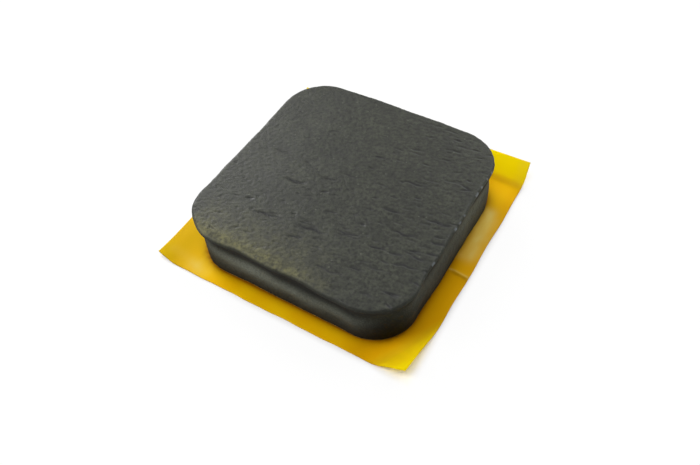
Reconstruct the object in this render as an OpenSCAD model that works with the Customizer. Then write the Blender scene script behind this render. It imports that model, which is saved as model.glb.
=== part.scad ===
// Self-adhesive foam pad, still on its release liner.
//
// The pad is a die-cut square of closed-cell foam with round corners. The die squeezes the
// foam while it cuts, so the cut wall springs back dished: a rounded lip at the top, a cove
// under the lip that runs in to a waist, and a wall that flares out again to the base.
// A film of pressure-sensitive adhesive lies under the foam. A thin sheet of release liner
// covers the adhesive and stands out past the pad all round, a little off centre. Its back
// edge and two of its corners curl up off the surface that it lies on.
//
// Millimetres, +Z up. The origin is on the underside of the liner, below the pad's middle.

/* [Pad] */
// Width of the pad along X, across the lip, where it is widest
pad_w = 25; // [16:0.5:60]
// Depth of the pad along Y, across the lip
pad_d = 25; // [16:0.5:60]
// Thickness of the pad, foam and adhesive together
pad_t = 6; // [4:0.25:12]
// Radius of the pad's corners, seen from above
corner_r = 4.75; // [2:0.05:7]
// Thickness of the adhesive film
adhesive_t = 0.1; // [0.05:0.01:0.3]

/* [Cut wall] */
// Radius of the lip, the rounded top edge
lip_r = 0.45; // [0.2:0.05:0.8]
// How far the waist lies inside the lip
waist_inset = 0.34; // [0.1:0.02:0.8]
// How far the waist lies below the top face
waist_drop = 2.4; // [1.8:0.1:3.2]
// How far the foot of the wall lies inside the lip
base_inset = 0.26; // [0:0.02:0.6]

/* [Liner] */
// Thickness of the liner
liner_t = 0.1; // [0.05:0.01:0.3]
// How far the liner stands out past the lip at the left, towards -X
margin_left = 3.05; // [2.5:0.05:8]
// How far the liner stands out past the lip at the right, towards +X
margin_right = 2.1; // [1.6:0.05:8]
// How far the liner stands out past the lip at the front, towards -Y
margin_front = 1.5; // [1.2:0.05:8]
// How far the liner stands out past the lip at the back, towards +Y
margin_back = 3.4; // [2.4:0.05:8]

// How far the slanting cut runs in along the liner's front edge at its front left corner
nip_x = 2.1; // [0.5:0.1:3]
// How far back from the front edge that cut meets the left edge
nip_depth = 0.34; // [0.1:0.02:0.5]

/* [Curled back edge] */
// Direction in which the back curl runs out, in degrees from +X
back_turn_deg = 86.5; // [80:0.1:100]
// Gap between the foot of the foam and the line where the back curl starts
back_gap = 0.3; // [0.1:0.05:0.8]
// Radius of the back curl
back_r = 2.3; // [1.5:0.1:5]
// Angle at which the back curl ends and the sheet runs on straight
back_bend_deg = 57; // [10:1:80]

/* [Curled front right corner] */
// Direction in which the front right curl runs out, in degrees from +X
front_turn_deg = -28; // [-60:1:-20]
// Gap between the foot of the foam and the line where the front right curl starts
front_gap = 0.5; // [0.1:0.05:0.8]
// Radius of the front right curl
front_r = 3.2; // [1.5:0.1:6]
// Angle at which the front right curl ends and the sheet runs on straight
front_bend_deg = 29; // [10:1:70]

/* [Curled front left corner] */
// Direction in which the front left curl runs out, in degrees from +X
left_turn_deg = -145; // [-150:1:-120]
// Length of sheet that curls up at the front left corner, along that direction
left_reach = 2.4; // [0.5:0.1:2.6]
// Radius of the front left curl
left_r = 9; // [3:0.5:15]
// Angle at which the front left curl ends and the sheet runs on straight
left_bend_deg = 13; // [5:1:40]

/* [Hidden] */
$fn = 96;

// Stack, from the table up: liner, adhesive, foam.
foam_t = pad_t - adhesive_t;
adhesive_z = liner_t;
foam_z = adhesive_z + adhesive_t;

// Centres of the pad's corners, and the radius of the corner at the foot of the foam.
centre_x = pad_w / 2 - corner_r;
centre_y = pad_d / 2 - corner_r;
base_r = corner_r - base_inset;

// Cut wall. The lip's arc and the cove's arc run into each other without a kink: the
// distance between their centres is the sum of their radii, which fixes the cove's radius.
waist_z = foam_t - waist_drop;
lip_to_waist = waist_drop - lip_r;
cove_r = (pow(waist_inset, 2) + pow(lip_to_waist, 2)) / (2 * waist_inset) - lip_r;
lip_fall = asin(lip_to_waist / (lip_r + cove_r));
arc_steps = 8;

// Flat outline of the liner, anticlockwise from its front left corner. The knife wandered
// there, so the tip lies a little inside the square corner.
liner_left = -pad_w / 2 - margin_left;
liner_right = pad_w / 2 + margin_right;
liner_front = -pad_d / 2 - margin_front;
liner_back = pad_d / 2 + margin_back;
nip_tip = [liner_left, liner_front + nip_depth];
liner_flat = [nip_tip, [liner_left + nip_x, liner_front], [liner_right, liner_front],
              [liner_right, liner_back], [liner_left, liner_back]];
edge_steps = 12;
bend_steps = 12;
lap = 0.5;
tongue_inset = 0.25;
on_line = 1e-6;
beyond = 2 * (pad_w + pad_d);

function unit(turn) = [cos(turn), sin(turn)];

// How far the foot of the foam reaches from the origin, in the direction of a turn.
function foot_reach(turn) =
    abs(cos(turn)) * centre_x + abs(sin(turn)) * centre_y + base_r;

// A curl is [turn, distance from the origin to the line where it starts, radius, bend].
back_curl = [back_turn_deg, foot_reach(back_turn_deg) + back_gap, back_r, back_bend_deg];
front_curl = [front_turn_deg, foot_reach(front_turn_deg) + front_gap, front_r, front_bend_deg];
left_curl = [left_turn_deg, unit(left_turn_deg) * nip_tip - left_reach, left_r, left_bend_deg];
CURLS = [back_curl, front_curl, left_curl];

// The part of an outline that lies past a line, which faces along a turn.
function clip(outline, turn, start) = [
    for (i = [0 : len(outline) - 1])
        let (a = outline[i],
             b = outline[(i + 1) % len(outline)],
             past_a = a * unit(turn) - start,
             past_b = b * unit(turn) - start)
            each concat(past_a >= 0 ? [a] : [],
                        (past_a >= 0) != (past_b >= 0)
                            ? [a + (b - a) * past_a / (past_a - past_b)] : [])];

// The same outline with each edge cut into short steps.
function stepped(outline) = [
    for (i = [0 : len(outline) - 1], j = [0 : edge_steps - 1])
        let (a = outline[i], b = outline[(i + 1) % len(outline)])
            a + (b - a) * j / edge_steps];

// Where a point of the flat liner lies, seen from above, once its curl is made. The length
// of sheet past the start of the curl is kept: it goes round the bend, then runs straight.
function curled(p, curl) =
    let (past = max(p * unit(curl[0]) - curl[1], 0),
         round_run = min(past, curl[2] * curl[3] * PI / 180),
         bend = round_run / curl[2] * 180 / PI,
         run = curl[2] * sin(bend) + (past - round_run) * cos(curl[3]))
        p + unit(curl[0]) * (run - past);

// Section of the foam from the middle of a corner out to its cut wall. X is the distance
// from the corner's centre, and Y is the height above the foam's underside.
module wall_section() {
    lip_centre = [corner_r - lip_r, foam_t - lip_r];
    cove_centre = [corner_r - waist_inset + cove_r, waist_z];
    polygon(concat(
        [[0, 0], [base_r, 0]],
        [for (i = [0 : arc_steps])
            cove_centre + cove_r * unit(180 - lip_fall * i / arc_steps)],
        [for (i = [1 : arc_steps])
            lip_centre + lip_r * unit(-lip_fall + (90 + lip_fall) * i / arc_steps)],
        [[0, foam_t]]));
}

// One straight stretch of wall, which runs along Y and faces +X.
module wall_run(length) {
    rotate([90, 0, 0])
        linear_extrude(height = length, center = true)
            wall_section();
}

module foam_pad() {
    color("#4b4c46")
        translate([0, 0, foam_z]) {
            translate([-centre_x, -centre_y, 0])
                cube([2 * centre_x, 2 * centre_y, foam_t]);
            for (side = [0, 180]) {
                rotate([0, 0, side])
                    translate([centre_x, 0, 0])
                        wall_run(2 * centre_y);
                rotate([0, 0, side + 90])
                    translate([centre_y, 0, 0])
                        wall_run(2 * centre_x);
            }
            for (corner = [[1, 1, 0], [-1, 1, 90], [-1, -1, 180], [1, -1, 270]])
                translate([corner[0] * centre_x, corner[1] * centre_y, 0])
                    rotate([0, 0, corner[2]])
                        rotate_extrude(angle = 90)
                            wall_section();
        }
}

// The film has the outline of the foam's foot, because the die cut them together.
module adhesive_film() {
    color("#e6d9a0")
        translate([0, 0, adhesive_z])
            linear_extrude(height = adhesive_t) {
                square([2 * centre_x, 2 * (centre_y + base_r)], center = true);
                square([2 * (centre_x + base_r), 2 * centre_y], center = true);
                for (x = [-centre_x, centre_x], y = [-centre_y, centre_y])
                    translate([x, y])
                        circle(r = base_r);
            }
}

// Section of a curl: X runs out from the line where it starts, and Y runs up. A short lap
// ties it to the flat sheet, then come the round bend and the straight run after it.
module curl_section(curl) {
    r = curl[2];
    bend = curl[3];
    end = beyond * unit(bend);
    underside = [for (i = [0 : bend_steps]) [0, r] + r * unit(-90 + bend * i / bend_steps)];
    upper_side = [for (i = [bend_steps : -1 : 0])
        [0, r] + (r - liner_t) * unit(-90 + bend * i / bend_steps)];
    polygon(concat(
        [[-lap, 0]], underside,
        [underside[bend_steps] + end, upper_side[0] + end],
        upper_side, [[-lap, liner_t]]));
}

// One curled edge or corner, cut to the outline that the curled sheet has from above. A
// tongue in the middle of the line where it starts laps under the flat sheet and ties it.
module curled_flap(curl) {
    flap = clip(liner_flat, curl[0], curl[1]);
    start = [for (p = flap) if (p * unit(curl[0]) - curl[1] < on_line) p];
    tongue = [start[0] + (start[1] - start[0]) * tongue_inset,
              start[1] + (start[0] - start[1]) * tongue_inset];
    intersection() {
        rotate([0, 0, curl[0]])
            translate([curl[1], 0, 0])
                rotate([90, 0, 0])
                    linear_extrude(height = beyond, center = true)
                        curl_section(curl);
        translate([0, 0, -lap])
            linear_extrude(height = beyond) {
                polygon([for (p = stepped(flap)) curled(p, curl)]);
                polygon(concat([for (p = tongue) p - lap * unit(curl[0])],
                               [tongue[1] + lap / 2 * unit(curl[0]),
                                tongue[0] + lap / 2 * unit(curl[0])]));
            }
    }
}

module release_liner() {
    color("#e6b414") {
        difference() {
            linear_extrude(height = liner_t)
                polygon(liner_flat);
            for (curl = CURLS)
                rotate([0, 0, curl[0]])
                    translate([curl[1], -beyond / 2, -lap])
                        cube([beyond, beyond, liner_t + 2 * lap]);
        }
        for (curl = CURLS)
            curled_flap(curl);
    }
}

foam_pad();
adhesive_film();
release_liner();
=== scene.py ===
# %% [markdown]
# # A self-adhesive foam pad on its release liner
#
# The object is a die-cut square of dark closed-cell foam, 25 mm wide and 6 mm thick, with a
# film of adhesive under it. It still lies on a yellow release liner, whose back edge and two
# of whose corners curl up. The frame gives the CAD solids in metres. Here each of the three
# is given its real surface: the wrinkled skin and cut wall of the foam, the thin edge of the
# adhesive, and the thin translucent sheet of the liner.

# %% Load the frame
import math
import bpy
import numpy as np
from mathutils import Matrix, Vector


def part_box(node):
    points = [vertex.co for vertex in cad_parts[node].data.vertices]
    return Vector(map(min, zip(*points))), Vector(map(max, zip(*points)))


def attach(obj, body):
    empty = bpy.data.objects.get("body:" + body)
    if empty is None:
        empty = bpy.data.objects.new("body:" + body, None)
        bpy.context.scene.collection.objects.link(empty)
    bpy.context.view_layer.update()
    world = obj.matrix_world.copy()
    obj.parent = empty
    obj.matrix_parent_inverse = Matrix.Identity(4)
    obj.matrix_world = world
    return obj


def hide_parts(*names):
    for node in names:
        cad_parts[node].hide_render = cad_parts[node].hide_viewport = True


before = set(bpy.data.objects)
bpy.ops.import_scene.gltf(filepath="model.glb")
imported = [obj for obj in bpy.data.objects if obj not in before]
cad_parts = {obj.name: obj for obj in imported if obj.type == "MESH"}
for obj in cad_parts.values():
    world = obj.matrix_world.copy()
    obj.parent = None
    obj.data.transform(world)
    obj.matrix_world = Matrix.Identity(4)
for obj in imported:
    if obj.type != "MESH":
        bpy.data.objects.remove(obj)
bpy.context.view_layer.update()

scene = bpy.context.scene
scene.view_settings.view_transform = "Standard"
print("nodes", sorted(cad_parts))

# %% [markdown]
# ## Units, colours and nodes
#
# Every length below is in millimetres, as on a drawing, and is turned to metres once, when a
# mesh is made. Colours are written as sRGB hex values and turned to linear light by one
# function, because shaders add light. One function adds a node to a material with its
# settings and links, so that a material reads from the top down.

# %% Colours and nodes
MM = 0.001
# The Mix node repeats the names of its sockets, so the ones for colours go by number.
COLOUR_A, COLOUR_B, COLOUR_OUT = 6, 7, 2


def linear(hex_colour):
    """An sRGB hex colour as linear RGBA: each channel c becomes ((c + 0.055) / 1.055) ^ 2.4, or
    c / 12.92 where it is nearly black."""
    channels = [int(hex_colour[i:i + 2], 16) / 255 for i in (1, 3, 5)]
    return [c / 12.92 if c <= 0.04045 else ((c + 0.055) / 1.055) ** 2.4
            for c in channels] + [1.0]


def add_node(tree, kind, settings=None, inputs=None):
    """Add a node, set its properties, and set or link each of its inputs. Inputs go by name,
    or by number where several share a name."""
    made = tree.nodes.new(kind)
    for name, value in (settings or {}).items():
        setattr(made, name, value)
    for name, value in (inputs or {}).items():
        if isinstance(value, bpy.types.NodeSocket):
            tree.links.new(value, made.inputs[name])
        else:
            made.inputs[name].default_value = value
    return made


def new_material(name):
    """An empty material with its node tree."""
    material = bpy.data.materials.new(name)
    material.use_nodes = True
    material.node_tree.nodes.clear()
    return material, material.node_tree


print("the sRGB grey #808080 is", round(linear("#808080")[0], 3), "in linear light")

# %% [markdown]
# ## Meshes, steps and waves
#
# A piece could be modelled by hand or with modifiers. Here each one is a formula over whole
# arrays, so it comes out the same on every run. Two small formulas are used all through: a
# soft step from 0 to 1, and a rolling surface that is the sum of a few cosine waves.

# %% Meshes, steps and waves
def make_piece(name, points, quads, triangles, material, values=None):
    """A smooth mesh from points in mm and arrays of corners, with one value per point for
    each named attribute."""
    mesh = bpy.data.meshes.new(name)
    corners = np.concatenate([np.ravel(quads), np.ravel(triangles)]).astype(np.int32)
    sizes = np.concatenate([np.full(len(quads), 4), np.full(len(triangles), 3)])
    mesh.vertices.add(len(points))
    mesh.vertices.foreach_set("co", np.ravel(points * MM).astype(np.float32))
    mesh.loops.add(len(corners))
    mesh.loops.foreach_set("vertex_index", corners)
    mesh.polygons.add(len(sizes))
    starts = np.concatenate([[0], np.cumsum(sizes)[:-1]]).astype(np.int32)
    mesh.polygons.foreach_set("loop_start", starts)
    mesh.polygons.foreach_set("loop_total", sizes.astype(np.int32))
    mesh.update(calc_edges=True)
    mesh.polygons.foreach_set("use_smooth", np.ones(len(sizes), dtype=bool))
    for key, value in (values or {}).items():
        mesh.attributes.new(key, "FLOAT", "POINT").data.foreach_set(
            "value", np.ravel(value).astype(np.float32))
    mesh.materials.append(material)
    mesh.validate()
    piece = bpy.data.objects.new(name, mesh)
    scene.collection.objects.link(piece)
    print(name, len(points), "points,", int((sizes - 2).sum()), "triangles")
    return piece


def smooth_step(value, low, high):
    """0 below low, 1 above high, and 3t^2 - 2t^3 between."""
    t = np.clip((value - low) / (high - low), 0, 1)
    return t * t * (3 - 2 * t)


def waves(x, y, seed, count, shortest, longest, stretch=1.0):
    """A random rolling surface of unit spread: the sum of count cosine waves with lengths
    between shortest and longest mm, drawn out along X by stretch."""
    rng = np.random.default_rng(seed)
    length = rng.uniform(shortest, longest, count)
    turn = rng.uniform(0, np.pi, count)
    phase = rng.uniform(0, 2 * np.pi, count)
    kx = 2 * np.pi / length * np.cos(turn) / stretch
    ky = 2 * np.pi / length * np.sin(turn)
    total = np.zeros(np.shape(x))
    for i in range(count):
        total += np.cos(kx[i] * x + ky[i] * y + phase[i])
    return total / np.sqrt(count / 2)


print("soft step at 1/4, 1/2 and 3/4:", smooth_step(np.array([0.25, 0.5, 0.75]), 0, 1))

# %% [markdown]
# ## Plan of the pad
#
# A die cuts foam and adhesive in one stroke, so both share one plan: a square with round
# corners. A point on the edge of a plain square is pulled to the nearest point of the square
# that joins the corners' centres, and pushed out again by the corner's radius. That one rule
# gives the straight sides, the corners and the outward direction everywhere. Foam is soft
# under the die, so the real outline isn't exact: the left and front corners bulge a little,
# and the sides waver by a tenth of a millimetre.

# %% Plan
foam_low, foam_high = [np.array(corner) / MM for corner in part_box("foam_pad")]
FOAM_Z, TOP_Z = foam_low[2], foam_high[2]
HALF, CORNER_R = 12.5, 4.75  # half the pad's width, and the radius of its corners
CENTRE = HALF - CORNER_R  # how far the corners' centres lie from the middle, along X and Y
LEFT_CORNER = -137  # direction of the left corner from the middle, in degrees
FRONT_BULGE = 0.30
# Each stray of the cut: how far outwards in mm, in which direction, over how many degrees
STRAYS = [(0.17, LEFT_CORNER, 15), (-0.05, 128, 12), (0.08, 97, 9), (-0.09, 60, 10)]
# Each ripple of the cut: how far in mm, how many round the pad, and its phase
RIPPLES = [(0.022, 9, 1.3), (0.016, 17, 4.0), (0.010, 31, 0.0)]


def front_corner(turn):
    """1 round the front corner, fading to 0 along the sides beside it."""
    return smooth_step(turn, -82, -64) * (1 - smooth_step(turn, -44, -22))


def plan_wander(x, y):
    """How far the cut strays outwards, in mm, by the direction from the middle: a bell for
    each stray, a bulge at the front corner, and a cosine for each ripple."""
    turn = np.degrees(np.arctan2(y, x))
    total = FRONT_BULGE * front_corner(turn)
    for far, middle, spread in STRAYS:
        total = total + far * np.exp(-((turn - middle) / spread) ** 2)
    for far, beats, phase in RIPPLES:
        total = total + far * np.cos(beats * np.radians(turn) + phase)
    return total


def outline(edge, out):
    """Points of the pad's plan and their outward directions. edge holds points on the border
    of the square from -1 to 1, and out is how far to stand outside the corners' centres."""
    square = edge * HALF
    core = np.clip(square, -CENTRE, CENTRE)
    away = square - core
    away /= np.linalg.norm(away, axis=-1, keepdims=True)
    ring = core + away * CORNER_R
    return core + away * (out + plan_wander(ring[..., 0], ring[..., 1])[..., None]), away


print("plan at the left corner", outline(np.array([[-1.0, -1.0]]), CORNER_R)[0].round(2), "mm")

# %% [markdown]
# ## Skin of the foam
#
# The top face is the foam's own skin. It isn't flat: it has slow swells, soft pits half a
# millimetre across, and fine dark creases that run across the sheet, all nearly parallel,
# because the sheet was rolled. The creases crowd towards the front and the right. They could
# be a bump in the material, but they break the outline of the lip, so they are geometry. Each
# one is a groove: a bell-shaped dip across a wavy line that fades out at both ends. The long
# ones are listed, the short ones are placed by rule, and all draw from one seed, so every run
# gives the same pad.

# %% Creases
# The long creases: where each starts and ends along X, its height up the face, and its depth
LONG_CREASES = [
    (5.0, 7.6, 3.0, 1.0), (-6.1, -3.3, -2.4, 0.95), (7.1, 9.8, -3.2, 1.0),
    (2.2, 4.9, -5.7, 0.95), (5.9, 7.9, -5.85, 0.95), (-1.4, 2.0, -6.9, 1.0),
    (-6.3, -2.9, -7.4, 0.85), (-1.6, 0.2, -8.5, 0.8), (9.3, 12.3, -0.4, 1.0),
    (4.7, 7.3, -1.2, 0.8), (9.5, 11.6, -9.7, 0.8), (6.6, 9.2, -8.0, 0.5),
    (8.0, 9.8, -5.65, 0.8), (8.0, 9.7, -10.85, 0.7), (9.8, 11.1, -4.5, 0.8),
    (11.0, 12.7, -2.7, 0.9), (11.2, 12.6, -4.1, 0.9), (7.0, 8.0, 1.4, 0.8),
    (4.0, 4.7, -4.1, 0.9), (-1.6, -0.7, -2.2, 0.7), (-7.9, -7.0, -6.4, 0.7),
    (-3.0, -0.7, -0.5, 0.6), (12.0, 12.7, -6.1, 0.8), (-1.2, 1.0, 0.9, 0.55),
    (8.6, 10.4, 5.0, 0.45), (-9.4, -7.2, 0.6, 0.5), (0.6, 2.8, 4.6, 0.5),
    (3.4, 5.2, 7.4, 0.5), (-5.6, -4.0, 5.8, 0.4), (9.2, 11.8, -6.4, 0.8),
    (3.2, 5.6, -10.3, 0.6)]
LONG_SLOPE = 0.12
ROWS, COLUMNS = 30, 15  # of short creases
FIELD_X, FIELD_Y = 24.8, 24.0  # the field that they are spread over
rng = np.random.default_rng(11)


def crease_table():
    """One row per crease: middle x and y, length, width, slope, size, beat and phase of its
    waver, and depth. The short ones stand in jittered rows, and climb to the right by about
    7 degrees. crowd runs from the back left to the front right, and so do their number, size
    and depth."""
    x0, x1, y, deep = np.array(LONG_CREASES).T
    many = len(x0)
    long_ones = [(x0 + x1) / 2, y, x1 - x0, rng.uniform(0.11, 0.16, many),
                 np.full(many, LONG_SLOPE), rng.uniform(0.05, 0.10, many),
                 rng.uniform(2.5, 4.5, many), rng.uniform(0, 2 * np.pi, many), deep]
    many = ROWS * COLUMNS
    row, column = np.divmod(np.arange(many), COLUMNS)
    x = FIELD_X * ((column + rng.uniform(0, 1, many)) / COLUMNS - 0.5)
    y = FIELD_Y * ((row + rng.uniform(0.1, 0.9, many)) / ROWS - 0.5)
    crowd = 0.5 + 0.5 * (1.4 * x - 0.6 * y) / (2 * HALF)
    deep = rng.uniform(0.05, 0.9, many) ** 1.4 * (0.12 + 1.15 * crowd)
    short_ones = [x, y, rng.uniform(0.4, 1.5, many) * (0.8 + 0.5 * crowd),
                  rng.uniform(0.07, 0.11, many) * (0.8 + 0.45 * crowd),
                  np.tan(np.radians(rng.normal(7, 6, many))), rng.uniform(0.01, 0.05, many),
                  rng.uniform(3, 6, many), rng.uniform(0, 2 * np.pi, many), deep]
    kept = rng.uniform(0, 1, many) < 0.3 + 0.6 * crowd
    return np.vstack([np.stack(long_ones, 1), np.stack(short_ones, 1)[kept]])


CREASES = crease_table()
print("creases", len(CREASES), "of which long", len(LONG_CREASES))


def crease_depth(x, y):
    """How deep the creases are at each point, from 0 to about 1: the sum over all creases of
    depth * exp(-(distance from the wavy line / width)^2) * (1 - (way along it)^2)."""
    total = np.zeros(np.shape(x))
    for cx, cy, long, wide, slope, size, beat, phase, deep in CREASES:
        along = (x - cx) / (long / 2)
        near = np.abs(along) < 1
        way = x[near] - cx
        line = cy + slope * way + size * np.sin(beat * way + phase)
        fade = 1 - along[near] ** 2
        width = wide * (0.5 + 0.5 * fade)
        total[near] += deep * np.exp(-((y[near] - line) / width) ** 2) * fade
    return np.clip(total, 0, 1.2)


# %% Height of the skin
# How deep or high each feature of the skin is, in mm
CREASE_MM, PIT_MM, SWELL_MM, GRIT_MM, SAG_MM = 0.12, 0.006, 0.03, 0.004, 0.14


def scuff_and_sheen_band(x, y):
    """Where the skin is scuffed along the front edge and carries a painted sheen, from 0 to 1.1:
    a faint band 6 mm wide and a strong one 2 mm wide beside the lip, both fading out past the
    middle of the side."""
    beside = (0.36 * smooth_step(-y, HALF - 6.0, HALF - 0.5)
              + 0.74 * smooth_step(-y, HALF - 2.0, HALF - 0.2))
    return beside * smooth_step(x, -12.4, -10.0) * (1 - smooth_step(x, -1.5, 7.0))


def skin_height(x, y):
    """Height of the skin over a flat face, in mm, then the crease and the scuff-and-sheen
    values:
    minus the creases, minus soft pits, plus slow swells, and a gritty, slightly lower scuffed
    band."""
    crease = crease_depth(x, y)
    pits = waves(x, y, seed=3, count=60, shortest=0.3, longest=0.8, stretch=1.15)
    swells = waves(x, y, seed=5, count=9, shortest=5.0, longest=12.0)
    grit = waves(x, y, seed=8, count=36, shortest=0.5, longest=1.2)
    scuff_and_sheen = scuff_and_sheen_band(x, y)
    height = (-CREASE_MM * crease - PIT_MM * np.clip(pits, -1, 2.5)
              + SWELL_MM * (swells - 1.5) / 3 + GRIT_MM * scuff_and_sheen * (grit - 1.5))
    return height, crease, scuff_and_sheen


def edge_droop(x, y):
    """How far the front edge sags beside the scuffed band, in mm."""
    edge = smooth_step(-y, HALF - 1.5, HALF - 0.1)
    return SAG_MM * edge ** 2 * scuff_and_sheen_band(x, np.full_like(y, -HALF))


place_x = np.linspace(-10, 10, 5)
print("skin from left to right", skin_height(place_x, 0 * place_x)[0].round(3), "mm")

# %% [markdown]
# ## Wall of the foam
#
# The die squeezes the foam as it cuts, and the cut springs back dished. Its section, from the
# top down, is a small round lip, an undercut that runs in to a narrow waist, a belly, and a
# wall that draws in again to the foot. It is a profile carried round the plan, and it changes
# on the way, which one lathed or swept section couldn't do: the undercut is deepest at the
# left corner, deep at the front one, and shallow along the right side.

# %% Section of the wall
LIP_R, COVE_Z, WAIST_Z, BELLY_Z = 0.3, 5.1, 4.1, 2.7
LIP_Z = TOP_Z - LIP_R  # where the lip's arc meets the wall
LIP_POINTS, WALL_POINTS = 8, 33
lip_turn = np.linspace(np.pi / 2, 0, LIP_POINTS)
section_z = np.concatenate([TOP_Z - LIP_R + LIP_R * np.sin(lip_turn),
                            np.linspace(LIP_Z, FOAM_Z, WALL_POINTS + 1)[1:]])
lip_out = np.concatenate([LIP_R * (np.cos(lip_turn) - 1), np.zeros(WALL_POINTS)])


def tent(z, stops):
    """Straight lines through stops of (height, share), rounded by taking their mean over
    0.6 mm of height."""
    heights, shares = np.array(stops).T
    return np.mean([np.interp(z + d, heights, shares) for d in np.linspace(-0.3, 0.3, 7)],
                   axis=0)


def front_side(turn, low, high):
    """1 along the front, rising from low to high degrees clockwise from the right, and fading
    to 0 past the left corner."""
    return smooth_step(-turn, low, high) * (1 - smooth_step(-turn, 150, 175))


def hollow(z, x, y):
    """How far the wall lies inside the lip at height z, in mm: the insets of the waist, the
    belly and the foot, each times its tent over the height, each as deep as its side asks."""
    turn = np.degrees(np.arctan2(y, x))
    left = np.exp(-((turn - LEFT_CORNER) / 22) ** 2)
    front = front_side(turn, 20, 60)
    right = smooth_step(turn, -35, -15) * (1 - smooth_step(turn, 25, 45))
    near = front_corner(turn)
    waist = 0.36 + 0.12 * front + 0.32 * left + 0.20 * near
    belly = 0.20 - 0.05 * front + 0.36 * left + 0.24 * near
    foot = 0.30 + 0.04 * front + 0.10 * left + 0.24 * near - 0.12 * right
    inset = (waist * tent(z, [(BELLY_Z, 0), (WAIST_Z, 1), (COVE_Z, 0.62), (LIP_Z, 0)])
             + belly * tent(z, [(FOAM_Z, 0), (BELLY_Z, 1), (WAIST_Z, 0)])
             + foot * tent(z, [(FOAM_Z, 1), (BELLY_Z, 0)]))
    return inset * smooth_step(-z, -LIP_Z, 0.35 - LIP_Z)


print("section", len(section_z), "points; the right side's waist lies",
      float(hollow(WAIST_Z, HALF, 0.0).round(2)), "mm in")

# %% [markdown]
# ## Painted light and shade on the cut wall
#
# The wall's colour carries painted light and shade. It is painted black under the lip and at
# the foot, where shade falls, and pale on the belly, where light falls. The pale band is sharp
# and bright along the front, lighter towards the left, and broad and soft on the other sides.
# Both are painted darker at the corners, most of all low down. The rim of the right side is
# nicked, and its nicks carry painted glints. None of this follows from the shape, so it is
# worked out here as one value per point, which the material reads.

# %% Painted light and shade on the cut wall
GIRTH_R = 14.0  # mean distance from the middle to the wall: turns a direction into mm
# Painted light on the cut wall at each height, along the front and on the other sides
FRONT_WALL_LIGHT = [(FOAM_Z, 0.08), (1.3, 0.21), (2.1, 0.50), (2.7, 0.95), (3.15, 0.95), (3.65, 0.45),
           (3.98, 0.06), (5.5, 0.07), (TOP_Z, 0.35)]
SIDE_WALL_LIGHT = [(FOAM_Z, 0.12), (1.0, 0.28), (1.7, 0.44), (2.7, 0.52), (3.5, 0.70), (4.0, 0.66),
         (4.4, 0.36), (4.7, 0.08), (5.2, 0.08), (5.5, 0.40), (TOP_Z, 0.5)]


def painted_wall_light(z, x, y):
    """How much painted light the cut wall gets, from 0 to 1: the two bands, each at a height
    that wavers along the side, blended round the pad, with painted shade at the corners, most of
    all low down."""
    turn = np.degrees(np.arctan2(y, x))
    height = z + 0.07 * waves(GIRTH_R * np.radians(turn), 0 * z, seed=24, count=10,
                              shortest=2.0, longest=6.0)
    # Painted light on the front wall, lighter towards the left, and on the other sides, lightest
    # where Y is near 6 mm
    front_light = tent(height, FRONT_WALL_LIGHT) * (0.68 + 0.32 * smooth_step(-x, -7, 8))
    side_light = tent(height, SIDE_WALL_LIGHT) * (0.76 + 0.58 * np.exp(-((y - 6) / 5) ** 2))
    # Painted shade at the corners, deepest low down
    corner = np.exp(-((np.abs(np.abs(turn) - 90) - 45) / 13) ** 2)
    low = smooth_step(-z, -WAIST_Z - 0.5, -FOAM_Z - 2.0)
    band = side_light + (front_light - side_light) * front_side(turn, 38, 62)
    return band * (1 - corner * (0.3 + 0.68 * low))


def rim_nick_glints(z, x, y):
    """Where painted glints sit on the nicks of the right side's rim, from 0 to 1: the crests of
    short waves along it, on the lower half of the lip only."""
    short = waves(y, 0 * y, seed=26, count=30, shortest=0.4, longest=1.1)
    crests = np.clip(1.2 * short - 0.75, 0, 1)
    side = smooth_step(x, HALF - 1.0, HALF - 0.4) * smooth_step(y, -8.0, -4.0)
    above = smooth_step(z, TOP_Z - 0.42, TOP_Z - 0.3)
    below = smooth_step(-z, 0.02 - TOP_Z, 0.15 - TOP_Z)
    return crests * side * above * below


heights = np.array([1.0, BELLY_Z, WAIST_Z, COVE_Z])
print("lightness up the front", painted_wall_light(heights, 0 * heights, 0 * heights - HALF).round(2))

# %% [markdown]
# ## One closed surface for the foam
#
# The skin is a grid of squares, finer across the creases than along them, which is drawn
# into the plan of the pad. The wall takes the grid's border points and carries them down the
# section. The underside is a fan. All three share their points, so the foam is one closed
# skin, and the creases run on over the lip as they do where real foam is cut.

# %% Grid of the skin
ACROSS, ALONG = 176, 264


def grid_faces(columns, rows):
    """Corners of the cells of a grid of (columns + 1) by (rows + 1) points, anticlockwise."""
    i, j = np.meshgrid(np.arange(columns), np.arange(rows), indexing="ij")
    first = (i * (rows + 1) + j).ravel()
    return np.stack([first, first + rows + 1, first + rows + 2, first + 1], axis=1)


def border(columns, rows):
    """Indices of the grid's border points, anticlockwise from its first point."""
    i, j = np.arange(columns + 1), np.arange(rows + 1)
    return np.concatenate([i[:-1] * (rows + 1), columns * (rows + 1) + j[:-1],
                           i[:0:-1] * (rows + 1) + rows, j[:0:-1]])


def skin_grid():
    """The grid of the top face: its points, and its edge direction for each point. A point
    keeps its place in the square near the middle and takes the round plan near the rim, by
    the cube of its reach, which runs from 0 in the middle to 1 at the border."""
    a, b = np.meshgrid(np.linspace(-1, 1, ACROSS + 1), np.linspace(-1, 1, ALONG + 1),
                       indexing="ij")
    flat = np.stack([a.ravel(), b.ravel()], axis=1)
    reach = np.abs(flat).max(axis=1, keepdims=True)
    edge = np.where(reach < 1e-9, (1.0, 0.0), flat / np.maximum(reach, 1e-9))
    rim, _ = outline(edge, CORNER_R - LIP_R)
    share = reach ** 3
    return (1 - share) * flat * (HALF - LIP_R) + share * reach * rim, edge


print("skin", ACROSS, "by", ALONG, "cells, with", len(border(ACROSS, ALONG)), "border points")

# %% Rings of the wall
SWAY_MM, CUT_MM = 0.025, 0.010  # slow sway of the wall, and fine marks of the cut


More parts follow.
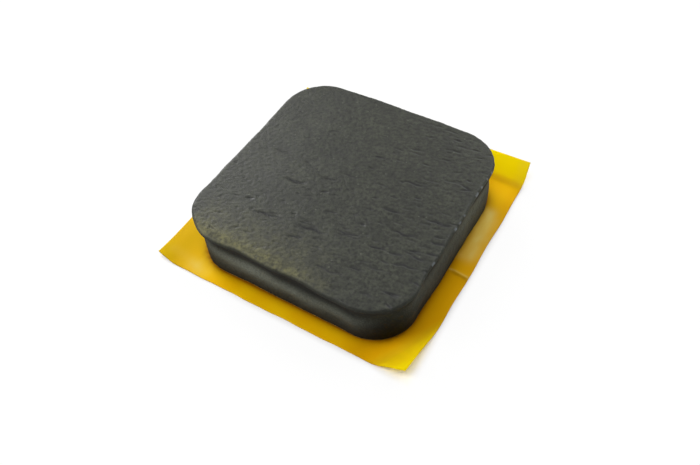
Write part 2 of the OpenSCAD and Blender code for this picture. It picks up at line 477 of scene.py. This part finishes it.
def wall_ring(edge, lip, z):
    """One ring of the wall at height z: the plan, less the hollow, plus a sway and cut marks
    that fade at the foot, with the skin's own height carried over the lip."""
    xy, away = outline(edge, CORNER_R + lip)
    x, y = xy.T
    around, up = np.arctan2(y, x) * GIRTH_R, np.full(len(x), z)
    on_lip = np.clip((up - TOP_Z + LIP_R) / LIP_R, 0, 1)
    sway = waves(around, 1.5 * up, seed=21, count=12, shortest=2.5, longest=7.0)
    cut = waves(around, 0.8 * up, seed=22, count=24, shortest=0.5, longest=1.4)
    shift = ((SWAY_MM * sway + CUT_MM * cut) * smooth_step(up, FOAM_Z, FOAM_Z + 0.8)
             - hollow(up, x, y))
    height, crease, scuff_and_sheen = skin_height(x, y)
    sag = edge_droop(x, y) * smooth_step(up, WAIST_Z, LIP_Z)
    points = np.column_stack([xy + away * shift[:, None], up + height * on_lip - sag])
    return points, np.column_stack([crease * on_lip, scuff_and_sheen * on_lip, 1 - on_lip,
                                    painted_wall_light(up, x, y), rim_nick_glints(up, x, y)])


print("rings of the wall", len(section_z) - 1)

# %% Whole foam
FOAM_VALUES = ("crease", "scuff_and_sheen", "wall", "painted_wall_light", "nick_glint")


def foam_surface():
    """Points, faces and values of the whole foam: the skin's grid, the wall's rings below its
    border, and a fan to one point in the middle of the underside."""
    flat, edge = skin_grid()
    x, y = flat.T
    height, crease, scuff_and_sheen = skin_height(x, y)
    top = np.column_stack([x, y, TOP_Z + height - edge_droop(x, y)])
    ring = border(ACROSS, ALONG)
    rings = [wall_ring(edge[ring], lip, z) for lip, z in zip(lip_out[1:], section_z[1:])]
    count = len(ring)
    points = np.vstack([top, *[r[0] for r in rings], [[0, 0, FOAM_Z]]])
    none = np.zeros(len(x))
    values = np.vstack([np.column_stack([crease, scuff_and_sheen, none, none, none]),
                        *[r[1] for r in rings], [[0, 0, 1, 0.3, 0]]])
    order = np.vstack([ring, len(top) + np.arange(len(rings) * count).reshape(-1, count)])
    upper, lower = order[:-1], order[1:]
    wall = np.stack([upper, lower, np.roll(lower, -1, 1), np.roll(upper, -1, 1)], axis=-1)
    middle = np.full(count, len(points) - 1)
    fan = np.stack([lower[-1], middle, np.roll(lower[-1], -1)], axis=1)
    return points, np.vstack([grid_faces(ACROSS, ALONG), wall.reshape(-1, 4)]), fan, values


foam_points, foam_quads, foam_fan, foam_values = foam_surface()
print("foam from", foam_points.min(axis=0).round(2), "to", foam_points.max(axis=0).round(2))

# %% [markdown]
# ## Foam material
#
# The foam is black-grey EVA or polyethylene, rolled to a satin skin and cut open at the wall.
# To the eye, the skin shines softly over a fine grain and a faint mottle, and pale dust sits
# on it here and there. The creases carry painted shade, and the scuffed band along the front
# edge carries a paler, olive painted sheen. The cut wall is matt, because its cells are open,
# and its colour carries painted light and shade. One material does all this, and the values
# of the points say which finish shows, so that none ends at a seam.

# %% Patterns of the foam
# Sizes in mm. The cells are about 0.1 mm across and the grain of the skin is finer still.
# Both are drawn coarser, at 0.16 mm and 0.30 mm, so that they show.
CLOUD_MM, MOTTLE_MM, GRAIN_MM, DUST_MM, CELL_MM = 5, 0.9, 0.30, 1.1, 0.16
foam, tree = new_material("rolled closed-cell EVA foam")
place = add_node(tree, "ShaderNodeTexCoord").outputs["Object"]
crease_value, scuff_and_sheen_value, wall_value, wall_light_value, nick_glint_value = [
    add_node(tree, "ShaderNodeAttribute", {"attribute_name": name}).outputs["Fac"]
    for name in FOAM_VALUES]
cloud, blotch, grain = [
    add_node(tree, "ShaderNodeTexNoise", None, {
        "Vector": place, "Scale": 1 / (size * MM), "Detail": detail,
        "Roughness": rough}).outputs["Fac"]
    for size, detail, rough in (
        (CLOUD_MM, 3.0, 0.55), (MOTTLE_MM, 2.0, 0.7), (GRAIN_MM, 3.0, 0.62))]
dust, cells = [
    add_node(tree, "ShaderNodeTexVoronoi", {"feature": "F1"}, {
        "Vector": place, "Scale": 1 / (size * MM)}).outputs["Distance"]
    for size in (DUST_MM, CELL_MM)]
print(foam.name, "reads", len(FOAM_VALUES), "values and 5 patterns")

# %% Colour of the skin
# Two near blacks in clouds, multiplied by the grain and the mottle
skin_colour = add_node(tree, "ShaderNodeMix", {"data_type": "RGBA"}, {
    "Factor": add_node(tree, "ShaderNodeMapRange", None, {
        "Value": cloud, "From Min": 0.35, "From Max": 0.65}).outputs[0],
    COLOUR_A: linear("#21231a"), COLOUR_B: linear("#27291f")}).outputs[COLOUR_OUT]
for pattern, low, high, darkest, lightest in ((grain, 0.35, 0.65, 0.5, 1.5),
                                              (blotch, 0.38, 0.62, 0.80, 1.20)):
    level = add_node(tree, "ShaderNodeMapRange", None, {
        "Value": pattern, "From Min": low, "From Max": high,
        "To Min": darkest, "To Max": lightest}).outputs[0]
    skin_colour = add_node(tree, "ShaderNodeMix", {
        "data_type": "RGBA", "blend_type": "MULTIPLY"}, {
        "Factor": 1.0, COLOUR_A: skin_colour, COLOUR_B: level}).outputs[COLOUR_OUT]

# The painted sheen of the scuffed band is broken up by the same two patterns. Dust shows where
# the middle of one of its cells meets the surface.
# Painted sheen along the front edge, broken up by blotch and grain
painted_sheen_share = scuff_and_sheen_value
for pattern, low, high, least, most in ((blotch, 0.36, 0.66, 0.3, 0.95),
                                        (grain, 0.36, 0.62, 0.55, 1.1)):
    level = add_node(tree, "ShaderNodeMapRange", None, {
        "Value": pattern, "From Min": low, "From Max": high,
        "To Min": least, "To Max": most}).outputs[0]
    painted_sheen_share = add_node(tree, "ShaderNodeMath", {"operation": "MULTIPLY"}, {
        0: painted_sheen_share, 1: level}).outputs[0]
dust_share = add_node(tree, "ShaderNodeMapRange", None, {
    "Value": dust, "From Min": 0.04, "From Max": 0.11, "To Min": 0.35,
    "To Max": 0.0}).outputs[0]
# Painted shade in the creases, darkest where they are deepest
painted_crease_shade = add_node(tree, "ShaderNodeMath", {"operation": "MULTIPLY"}, {
    0: crease_value, 1: 1.5}).outputs[0]
# Over the bare skin lie the olive painted sheen of the scuffed band, the dust, and painted
# shade in the creases.
for factor, colour in ((painted_sheen_share, "#63603a"), (dust_share, "#5c5e52"),
                       (painted_crease_shade, "#0c0d0a")):
    skin_colour = add_node(tree, "ShaderNodeMix", {"data_type": "RGBA"}, {
        "Factor": factor, COLOUR_A: skin_colour,
        COLOUR_B: linear(colour)}).outputs[COLOUR_OUT]
print("colour of the skin,", len(tree.nodes), "nodes so far")

# %% Colour of the cut wall
# Painted shade and light: black under the lip, at the foot and at the corners, pale grey on
# the lit belly, and bluish painted glints at the nicks
painted_cut_colour = add_node(tree, "ShaderNodeMix", {"data_type": "RGBA"}, {
    "Factor": wall_light_value, COLOUR_A: linear("#0e0d0b"),
    COLOUR_B: linear("#808376")}).outputs[COLOUR_OUT]
cell_level = add_node(tree, "ShaderNodeMapRange", None, {
    "Value": cells, "From Min": 0.1, "From Max": 0.7, "To Min": 1.15,
    "To Max": 0.8}).outputs[0]
painted_cut_cells = add_node(tree, "ShaderNodeMix", {"data_type": "RGBA", "blend_type": "MULTIPLY"}, {
    "Factor": 1.0, COLOUR_A: painted_cut_colour, COLOUR_B: cell_level}).outputs[COLOUR_OUT]
walled = add_node(tree, "ShaderNodeMix", {"data_type": "RGBA"}, {
    "Factor": wall_value, COLOUR_A: skin_colour, COLOUR_B: painted_cut_cells}).outputs[COLOUR_OUT]
# Painted glints at the nicks of the rim
nicked = add_node(tree, "ShaderNodeMix", {"data_type": "RGBA"}, {
    "Factor": nick_glint_value, COLOUR_A: walled,
    COLOUR_B: linear("#848a8e")}).outputs[COLOUR_OUT]
print("colour of the wall,", len(tree.nodes), "nodes so far")

# %% Shine and relief of the foam
gloss = add_node(tree, "ShaderNodeMapRange", None, {
    "Value": grain, "From Min": 0.3, "From Max": 0.7, "To Min": 0.39,
    "To Max": 0.55}).outputs[0]
roughness, relief = [
    add_node(tree, "ShaderNodeMix", {"data_type": "FLOAT"}, {
        "Factor": wall_value, "A": on_skin, "B": on_wall}).outputs[0]
    for on_skin, on_wall in ((gloss, 1.0), (grain, cells))]
bump = add_node(tree, "ShaderNodeBump", None, {
    "Strength": 0.35, "Distance": 0.06 * MM, "Height": relief}).outputs[0]
skin = add_node(tree, "ShaderNodeBsdfPrincipled", None, {
    "Base Color": nicked, "Roughness": roughness, "Normal": bump, "IOR": 1.45,
    "Specular IOR Level": 0.42})
add_node(tree, "ShaderNodeOutputMaterial", None, {"Surface": skin.outputs[0]})

foam_pad = make_piece("foam_pad_skin", foam_points, foam_quads, foam_fan, foam,
                      dict(zip(FOAM_VALUES, foam_values.T)))
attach(foam_pad, "root")
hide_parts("foam_pad")

# %% [markdown]
# ## Release liner
#
# The liner is a thin film that lets light through, cut by hand a little off square. It lies
# flat under the pad and curls up at the back edge and at two corners. It could be a plane
# with bend modifiers, but a thin film can't stretch, so each curl is part of a cylinder: a
# point keeps its distance along the sheet, goes round the bend, and then runs on straight.
# The whole sheet is one function of two distances along it, u to the right and v to the back,
# made into a closed shell 0.1 mm thick.

# %% Curls of the liner
LINER_T = 0.1
LEFT, RIGHT, FRONT, BACK = -15.55, 14.6, -14.0, 15.9  # its edges when it is laid flat
NIP_X, NIP_DEPTH = 2.1, 0.34  # the slanting cut at the front left corner
BASE_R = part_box("adhesive_film")[1][0] / MM - CENTRE  # radius of the corners of the pad's foot
# The turns of the three curls in degrees, and how much of the left corner curls up
BACK_TURN, FRONT_TURN, LEFT_TURN, LEFT_REACH = 86.5, -28, -145, 2.4


def curl_start(turn, gap):
    """Distance from the origin to the line where a curl starts, clear of the foam's foot."""
    a = math.radians(turn)
    return (abs(math.cos(a)) + abs(math.sin(a))) * CENTRE + BASE_R + gap


left_turn = math.radians(LEFT_TURN)
left_tip = math.cos(left_turn) * LEFT + math.sin(left_turn) * (FRONT + NIP_DEPTH)
# Each curl: its turn, the distance to its start, its radius, and the angle at which it ends
CURLS = [(BACK_TURN, curl_start(BACK_TURN, 0.3), 2.3, 57),
         (FRONT_TURN, curl_start(FRONT_TURN, 0.5), 3.2, 29),
         (LEFT_TURN, left_tip - LEFT_REACH, 9.0, 13)]


def liner_sheet(u, v):
    """Place and upward direction of the sheet's underside at the distances u and v along it.
    For each curl, the distance d past its start becomes r sin(bend) + rest cos(end) along and
    r (1 - cos(bend)) + rest sin(end) up."""
    point = np.stack([u, v, np.zeros_like(u)], axis=-1)
    up = np.zeros_like(point)
    up[..., 2] = 1
    for turn, start, radius, end in CURLS:
        a = math.radians(turn)
        way = np.array([math.cos(a), math.sin(a)])
        past = np.clip(u * way[0] + v * way[1] - start, 0, None)
        end = math.radians(end)
        round_run = np.minimum(past, radius * end)
        bend = round_run / radius
        run = radius * np.sin(bend) + (past - round_run) * math.cos(end)
        rise = radius * (1 - np.cos(bend)) + (past - round_run) * math.sin(end)
        point[..., :2] += (run - past)[..., None] * way
        point[..., 2] += rise
        up[..., :2] -= np.sin(bend)[..., None] * way
        up[..., 2] += np.cos(bend) - 1
    return point, up / np.linalg.norm(up, axis=-1, keepdims=True)


tip, _ = liner_sheet(np.array([0.0]), np.array([BACK]))
print("middle of the back edge", tip.round(2), "mm")

# %% Cut edges and small lifts
SLOW_MM, FOLD_MM = 0.03, 0.20  # height of the slow waves, and of the fold


def liner_flat(s, t):
    """Distances along the sheet for grid values s and t from 0 to 1: the cut rectangle, with
    its nipped corner and edges that waver where the knife did."""
    u = LEFT + (RIGHT - LEFT) * s
    v = FRONT + (BACK - FRONT) * t
    near_front, near_right = (1 - t) ** 12, s ** 12
    nip = NIP_DEPTH * np.clip(1 - (u - LEFT) / NIP_X, 0, 1)
    waver = np.sin(np.pi * s) ** 0.5 * (0.03 * np.sin(0.9 * u + 1.0) + 0.02 * np.sin(2.1 * u))
    shift_u = near_right * np.sin(np.pi * t) * 0.06 * np.sin(0.8 * v + 2.0)
    return u + shift_u, v + near_front * (nip + waver)


def liner_lift(u, v):
    """Small lifts of the flat margins off the table, in mm, none under the pad: slow waves,
    and the fold across the right margin, which falls off slowly behind its line and steeply
    in front of it."""
    clear = np.maximum(np.abs(u), np.abs(v)) - (HALF - 0.1)
    slow = waves(u, v, seed=31, count=10, shortest=3.5, longest=9.0)
    side = v + 0.9 + 0.12 * (u - 12.6)
    fold = smooth_step(u, 12.3, 13.2) * np.where(side > 0, np.exp(-side / 1.1),
                                                 np.exp(side / 0.16))
    outside = smooth_step(clear, 0.0, 2.2)
    return outside * SLOW_MM * np.clip(slow + 0.8, 0, None) + FOLD_MM * fold


print("the fold lifts the sheet by", float(liner_lift(14.0, -1.05).round(2)), "mm")

# %% Haze and painted highlights
# Each pale streak, partly haze and partly a painted highlight, the last one a painted
# highlight along the fold's ridge: u and v of its two ends, its width in mm, and its strength
HAZE_AND_GLARE = [(13.3, 1.6, 13.0, 7.8, 0.8, 0.75), (14.0, 4.5, 13.8, 7.0, 0.6, 0.35),
        (13.7, 2.3, 13.6, 3.8, 0.7, 0.25), (-14.4, -12.4, -11.0, -12.8, 0.6, 0.10),
        (-11.3, -13.0, -9.8, -13.4, 0.7, 0.35), (-13.6, -4.0, -13.4, 3.0, 0.7, 0.06),
        (14.0, 13.8, 14.0, 16.0, 0.7, 0.35), (12.5, -0.78, 14.6, -1.02, 0.13, 0.55)]


def haze_and_glare(u, v):
    """How milky the coat looks, from 0 to 1, as haze and painted highlights: for each streak,
    its strength times exp(-(distance from the line between its ends / width)^2)."""
    total = np.zeros(np.shape(u))
    for u0, v0, u1, v1, width, strength in HAZE_AND_GLARE:
        du, dv = u1 - u0, v1 - v0
        along = np.clip(((u - u0) * du + (v - v0) * dv) / (du * du + dv * dv), 0, 1)
        away = np.hypot(u - u0 - along * du, v - v0 - along * dv)
        total += strength * np.exp(-(away / width) ** 2)
    return np.clip(total, 0, 1)


print("streaks of haze", len(HAZE_AND_GLARE))

# %% Shell of the liner
LINER_VALUES = ("lift", "haze_and_glare", "beside")
FOOT_SHADOW_MM = 0.40  # how far the painted shadow beside the pad's foot reaches


def spaced(*stops):
    """Grid values that run through the stops, given as (place, number of cells to the next),
    and turned to run from 0 to 1."""
    parts = [np.linspace(a[0], b[0], a[1], endpoint=False) for a, b in zip(stops, stops[1:])]
    values = np.concatenate(parts + [[stops[-1][0]]])
    return (values - values[0]) / (values[-1] - values[0])


# The cells are small where the sheet bends, beside the fold and along the cut edges.
sheet_s = spaced((LEFT, 34), (-11.5, 34), (11.5, 26), (RIGHT, 0))
sheet_t = spaced((FRONT, 24), (-11.0, 44), (-2.5, 30), (0.5, 48), (12.0, 34), (BACK, 0))


def liner_shell():
    """Points, faces and values of the closed sheet: its upper side, its underside, and its cut
    edge. The values say how far it is bent or lifted, which also sets a painted glow, how hazy
    and glaring it is, and how near the pad it is, which sets a painted shadow."""
    s, t = np.meshgrid(sheet_s, sheet_t, indexing="ij")
    u, v = liner_flat(s, t)
    under, up = liner_sheet(u, v)
    under = under + up * liner_lift(u, v)[..., None]
    over = under + up * LINER_T
    columns, rows = len(sheet_s) - 1, len(sheet_t) - 1
    count = s.size
    faces = grid_faces(columns, rows)
    ring = border(columns, rows)
    after = np.roll(ring, -1)
    edge = np.stack([ring, ring + count, after + count, after], axis=1)
    points = np.vstack([over.reshape(-1, 3), under.reshape(-1, 3)])
    # How far the sheet is bent or lifted, which also sets its painted glow of lemon yellow
    bent = smooth_step(np.degrees(np.arccos(np.clip(up[..., 2], -1, 1))), 0, 36)
    lift = np.maximum(bent, smooth_step(under[..., 2], 0.0, 1.2))
    past_core = [np.maximum(np.abs(w) - CENTRE, 0) for w in (u, v)]
    # Painted shadow beside the pad's foot, fading with the distance from it
    beside = np.exp(-np.maximum(np.hypot(*past_core) - BASE_R, 0) / FOOT_SHADOW_MM)
    values = np.stack([lift.ravel(), haze_and_glare(u, v).ravel(), beside.ravel()], axis=1)
    return points, np.vstack([faces, faces[:, ::-1] + count, edge]), np.tile(values, (2, 1))


liner_points, liner_quads, liner_values = liner_shell()
print("liner from", liner_points[:, 2].min().round(3), "to", liner_points[:, 2].max().round(3),
      "mm up")

# %% [markdown]
# ## Liner material
#
# The liner is amber-yellow polyester film, dyed right through and given a silicone release
# coat. It is translucent, so a part of the light that meets it comes out on the other side.
# Its colour carries painted shade at its left and right sides, and a deeper painted shadow
# beside the foot of the pad. Where it is lifted, light passes through it once, and a painted
# glow of bright lemon yellow adds to that. The coat has pale streaks, partly wiped haze and
# partly painted highlights, one of them along the fold. A plain shader gives the body colour,
# and a translucent one beside it lets the light of the table through, with a larger share
# where the sheet is lifted. Both are far faster than real refraction in a thin sheet.

# %% Patterns and places of the liner
STREAK_MM, STREAK_TURN, STREAK_STRETCH, TINGE_MM = 1.6, 20, 0.35, 4
film, tree = new_material("siliconised amber polyester film")
place = add_node(tree, "ShaderNodeTexCoord").outputs["Object"]
turned = add_node(tree, "ShaderNodeMapping", None, {
    "Vector": place, "Rotation": (0, 0, math.radians(STREAK_TURN)),
    "Scale": (1.0, STREAK_STRETCH, 1.0)}).outputs[0]
streaks = add_node(tree, "ShaderNodeTexNoise", None, {
    "Vector": turned, "Scale": 1 / (STREAK_MM * MM), "Detail": 4.0,
    "Roughness": 0.55}).outputs["Fac"]
tinge = add_node(tree, "ShaderNodeTexNoise", None, {
    "Vector": place, "Scale": 1 / (TINGE_MM * MM), "Detail": 2.0}).outputs["Fac"]
lift_and_glow_value, haze_and_glare_value, foot_shadow_value = [
    add_node(tree, "ShaderNodeAttribute", {"attribute_name": name}).outputs["Fac"]
    for name in LINER_VALUES]
along = add_node(tree, "ShaderNodeSeparateXYZ", None, {0: place})
# Painted shade along the left side of the liner
left_painted_shade = add_node(tree, "ShaderNodeMapRange", {"interpolation_type": "SMOOTHSTEP"}, {
    "Value": along.outputs["X"], "From Min": -14 * MM, "From Max": -9 * MM,
    "To Min": 1.0, "To Max": 0.0}).outputs[0]
# The line where the painted shade of the right side begins slants: X less a quarter of Y
towards = add_node(tree, "ShaderNodeMath", {"operation": "MULTIPLY_ADD"}, {
    0: along.outputs["Y"], 1: -0.25, 2: along.outputs["X"]}).outputs[0]
right_painted_shade = add_node(tree, "ShaderNodeMapRange", {"interpolation_type": "SMOOTHSTEP"}, {
    "Value": towards, "From Min": 9.6 * MM, "From Max": 13.2 * MM}).outputs[0]
print(film.name, "reads", len(LINER_VALUES), "values, 2 patterns and its own place")

# %% Colour of the liner
film_colour = add_node(tree, "ShaderNodeMix", {"data_type": "RGBA"}, {
    "Factor": add_node(tree, "ShaderNodeMapRange", None, {
        "Value": tinge, "From Min": 0.35, "From Max": 0.65}).outputs[0],
    COLOUR_A: linear("#fac106"), COLOUR_B: linear("#ffce0a")}).outputs[COLOUR_OUT]
wiped = add_node(tree, "ShaderNodeMapRange", None, {
    "Value": streaks, "From Min": 0.35, "From Max": 0.7, "To Min": 0.45,
    "To Max": 1.0}).outputs[0]
haze_and_glare_share = add_node(tree, "ShaderNodeMath", {"operation": "MULTIPLY"}, {
    0: haze_and_glare_value, 1: wiped}).outputs[0]
# Over the body colour lie painted shade at the left and right sides, painted shadow beside the
# pad's foot, a painted glow of lemon yellow where the sheet is lifted, and the haze with its
# painted highlights.
for factor, colour in ((left_painted_shade, "#d9ad08"), (right_painted_shade, "#eaae06"),
                       (foot_shadow_value, "#8f5600"), (lift_and_glow_value, "#fff024"), (haze_and_glare_share, "#f2de7c")):
    film_colour = add_node(tree, "ShaderNodeMix", {"data_type": "RGBA"}, {
        "Factor": factor, COLOUR_A: film_colour,
        COLOUR_B: linear(colour)}).outputs[COLOUR_OUT]
print("colour of the liner,", len(tree.nodes), "nodes so far")

# %% Light through the liner
film_bump = add_node(tree, "ShaderNodeBump", None, {
    "Strength": 0.25, "Distance": 0.05 * MM, "Height": streaks}).outputs[0]
# The coat hardly mirrors the lamps, so its specular level is far below that of bare film.
coated = add_node(tree, "ShaderNodeBsdfPrincipled", None, {
    "Base Color": film_colour, "Roughness": 0.35, "IOR": 1.45, "Specular IOR Level": 0.04,
    "Normal": film_bump})
through = add_node(tree, "ShaderNodeBsdfTranslucent", None, {
    "Color": film_colour, "Normal": film_bump})
both = add_node(tree, "ShaderNodeMixShader", None, {
    0: add_node(tree, "ShaderNodeMapRange", None, {
        "Value": lift_and_glow_value, "To Min": 0.16, "To Max": 0.82}).outputs[0],
    1: coated.outputs[0], 2: through.outputs[0]})
add_node(tree, "ShaderNodeOutputMaterial", None, {"Surface": both.outputs[0]})

NO_TRIANGLES = np.zeros((0, 3))
liner = make_piece("release_liner_sheet", liner_points, liner_quads, NO_TRIANGLES, film,
                   dict(zip(LINER_VALUES, liner_values.T)))
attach(liner, "root")
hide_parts("release_liner")

# %% [markdown]
# ## Adhesive film
#
# The film of glue is a tenth of a millimetre thick and was cut with the foam, so it has the
# outline of the foam's foot. Only its edge shows, as a thin amber line. It could be left to
# the foam's own mesh, but it is a layer of its own that shows when the liner is peeled off.
# Acrylic adhesive is tacky, so it shines, over small soft beads.

# %% Pressure-sensitive adhesive
BEAD_MM = 0.5
glue, tree = new_material("pressure-sensitive acrylic adhesive")
place = add_node(tree, "ShaderNodeTexCoord").outputs["Object"]
beads = add_node(tree, "ShaderNodeTexNoise", None, {
    "Vector": place, "Scale": 1 / (BEAD_MM * MM), "Detail": 3.0}).outputs["Fac"]
glue_colour = add_node(tree, "ShaderNodeMix", {"data_type": "RGBA"}, {
    "Factor": beads, COLOUR_A: linear("#6e5a24"),
    COLOUR_B: linear("#b39a50")}).outputs[COLOUR_OUT]
glue_bump = add_node(tree, "ShaderNodeBump", None, {
    "Strength": 0.4, "Distance": 0.04 * MM, "Height": beads}).outputs[0]
tacky = add_node(tree, "ShaderNodeBsdfPrincipled", None, {
    "Base Color": glue_colour, "Roughness": 0.25, "IOR": 1.47, "Normal": glue_bump})
add_node(tree, "ShaderNodeOutputMaterial", None, {"Surface": tacky.outputs[0]})
print(glue.name, len(tree.nodes), "nodes")

# %% Layer of adhesive
SIDE_CELLS = 96


def film_surface():
    """A low wall round the plan of the foot, from the foam down to the liner, closed by a fan
    above and a fan below."""
    side = np.linspace(-1, 1, SIDE_CELLS + 1)[:-1]
    one = np.ones_like(side)
    edge = np.vstack([np.column_stack([side, -one]), np.column_stack([one, side]),
                      np.column_stack([-side, one]), np.column_stack([-one, -side])])
    ring, away = outline(edge, CORNER_R)
    x, y = ring.T
    ring = ring - away * hollow(np.full(len(x), FOAM_Z), x, y)[:, None]
    count = len(ring)
    high = np.column_stack([ring, np.full(count, FOAM_Z)])
    low = np.column_stack([ring, np.full(count, LINER_T)])
    points = np.vstack([high, low, [[0, 0, FOAM_Z]], [[0, 0, LINER_T]]])
    i = np.arange(count)
    j = np.roll(i, -1)
    wall = np.stack([i, i + count, j + count, j], axis=1)
    above = np.column_stack([i, j, np.full(count, 2 * count)])
    below = np.column_stack([j + count, i + count, np.full(count, 2 * count + 1)])
    return points, wall, np.vstack([above, below])


glue_points, glue_quads, glue_fans = film_surface()
adhesive = make_piece("adhesive_film_layer", glue_points, glue_quads, glue_fans, glue)
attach(adhesive, "root")
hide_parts("adhesive_film")

# %% [markdown]
# ## Table
#
# A plain white table. To the camera it glows nearly pure white, and keeps a faint shadow of
# the pad through the share of paint that isn't glow. To other light it is a warm light grey,
# so that it fills the shadows softly. The glow fades out under the liner, which keeps a thin
# contact shadow along the liner's edges. A plane lit to white by lamps alone would flatten
# the shadow and burn out the pad's rim. The table lies a hair below the liner, so that the
# two faces don't fight for the same place.

# %% Paint of the table
table_paint, tree = new_material("matt white table")
path = add_node(tree, "ShaderNodeLightPath")
seen = path.outputs["Is Camera Ray"]
for ray in ("Is Glossy Ray", "Is Transmission Ray"):
    seen = add_node(tree, "ShaderNodeMath", {"operation": "MAXIMUM"}, {
        0: seen, 1: path.outputs[ray]}).outputs[0]

# How far a place lies outside the liner: along each axis, its distance from the liner's
# middle less half the liner's width, and then the larger of the two
ground = add_node(tree, "ShaderNodeSeparateXYZ", None, {
    0: add_node(tree, "ShaderNodeTexCoord").outputs["Object"]})
outside = []
for axis, low, high in (("X", LEFT, RIGHT), ("Y", FRONT, BACK)):
    offset = add_node(tree, "ShaderNodeMath", {"operation": "SUBTRACT"}, {
        0: ground.outputs[axis], 1: (low + high) / 2 * MM}).outputs[0]
    distance = add_node(tree, "ShaderNodeMath", {"operation": "ABSOLUTE"}, {
        0: offset}).outputs[0]
    outside.append(add_node(tree, "ShaderNodeMath", {"operation": "SUBTRACT"}, {
        0: distance, 1: (high - low) / 2 * MM}).outputs[0])
farther = add_node(tree, "ShaderNodeMath", {"operation": "MAXIMUM"}, {
    0: outside[0], 1: outside[1]}).outputs[0]
glow = add_node(tree, "ShaderNodeMapRange", {"interpolation_type": "SMOOTHSTEP"}, {
    "Value": farther, "From Min": -0.3 * MM, "From Max": 0.7 * MM,
    "To Min": 0.05, "To Max": 0.93}).outputs[0]
glow_share = add_node(tree, "ShaderNodeMath", {"operation": "MULTIPLY"}, {
    0: seen, 1: glow}).outputs[0]
print(table_paint.name, len(tree.nodes), "nodes so far")

# %% Table top
TABLE_HALF, TABLE_DROP = 600, 0.02
shade = add_node(tree, "ShaderNodeMix", {"data_type": "RGBA"}, {
    "Factor": seen, COLOUR_A: linear("#a8a6a0"),
    COLOUR_B: linear("#fbfbfa")}).outputs[COLOUR_OUT]
paper = add_node(tree, "ShaderNodeBsdfDiffuse", None, {"Color": shade})
white = add_node(tree, "ShaderNodeEmission", None, {"Color": (1, 1, 1, 1), "Strength": 1.0})
lit = add_node(tree, "ShaderNodeMixShader", None, {
    0: glow_share, 1: paper.outputs[0], 2: white.outputs[0]})
add_node(tree, "ShaderNodeOutputMaterial", None, {"Surface": lit.outputs[0]})

square = np.array([[-1, -1, 0], [1, -1, 0], [1, 1, 0], [-1, 1, 0]])
table = make_piece("table_top", square * TABLE_HALF - [0, 0, TABLE_DROP],
                   np.array([[0, 1, 2, 3]]), NO_TRIANGLES, table_paint)

# %% [markdown]
# ## World and lamps
#
# The camera sees a white world, but the world lights the pad only dimly, because an even
# white sky would wash out its relief. Six soft square lamps do the rest. A window behind on
# the left and the panel above it put the sheen on the skin and draw the creases. A panel at
# the left and one overhead light the front wall, and one at the right and one behind keep the
# right wall and the curled back edge from going dark. All of them face the origin.

# %% World
world = bpy.data.worlds.new("studio")
scene.world = world
world.use_nodes = True
tree = world.node_tree
tree.nodes.clear()
path = add_node(tree, "ShaderNodeLightPath")
dim, bright = [
    add_node(tree, "ShaderNodeBackground", None, {"Color": (1, 1, 1, 1), "Strength": strength})
    for strength in (0.06, 1.0)]
sky = add_node(tree, "ShaderNodeMixShader", None, {
    0: path.outputs["Is Camera Ray"], 1: dim.outputs[0], 2: bright.outputs[0]})
add_node(tree, "ShaderNodeOutputWorld", None, {"Surface": sky.outputs[0]})
print("world", world.name)

# %% Lamps
LAMP_DISTANCE = 0.45  # metres from the origin
# Each lamp: name, azimuth and elevation in degrees, side in metres, power in watts
LAMPS = [("window behind left", 150, 25, 0.20, 1.00),
         ("panel above the window", 150, 45, 0.20, 0.36),
         ("panel at left", 214, 42, 0.20, 1.10),
         ("panel at right", 60, 45, 0.20, 0.76),
         ("panel behind", 98, 32, 0.20, 0.44),
         ("panel overhead", 262, 78, 0.24, 0.60)]
for name, azimuth, elevation, side, power in LAMPS:
    lamp = bpy.data.lights.new(name, "AREA")
    lamp.size, lamp.energy = side, power
    a, e = math.radians(azimuth), math.radians(elevation)
    aim = Vector((math.cos(e) * math.cos(a), math.cos(e) * math.sin(a), math.sin(e)))
    spot = aim * LAMP_DISTANCE
    stand = bpy.data.objects.new(name, lamp)
    stand.location = spot
    stand.rotation_euler = (-spot).to_track_quat("-Z", "Y").to_euler()
    scene.collection.objects.link(stand)
print("lamps", len(LAMPS), "with", round(sum(lamp[-1] for lamp in LAMPS), 2), "W in all")

# %% [markdown]
# ## Camera
#
# The camera stands close, in front and to the right, and looks down at about 50 degrees, so
# the pad's far side is clearly smaller than its near one. It is rolled by a few degrees.

# %% Camera
LENS_MM, SENSOR_MM = 35.909, 36.0
CAMERA_PLACE = (0.027801, -0.039749, 0.058643)  # metres
CAMERA_TURNS = (38.4092, 3.2527, 30.9284)  # degrees about X, Y and Z
view = bpy.data.cameras.new("camera")
view.sensor_width, view.lens = SENSOR_MM, LENS_MM
view.clip_start = MM  # the default of 100 mm would cut the pad away
camera = bpy.data.objects.new("camera", view)
camera.location = CAMERA_PLACE
camera.rotation_euler = [math.radians(turn) for turn in CAMERA_TURNS]
scene.collection.objects.link(camera)
scene.camera = camera
print("camera", round(camera.location.length * 1000), "mm from the origin")
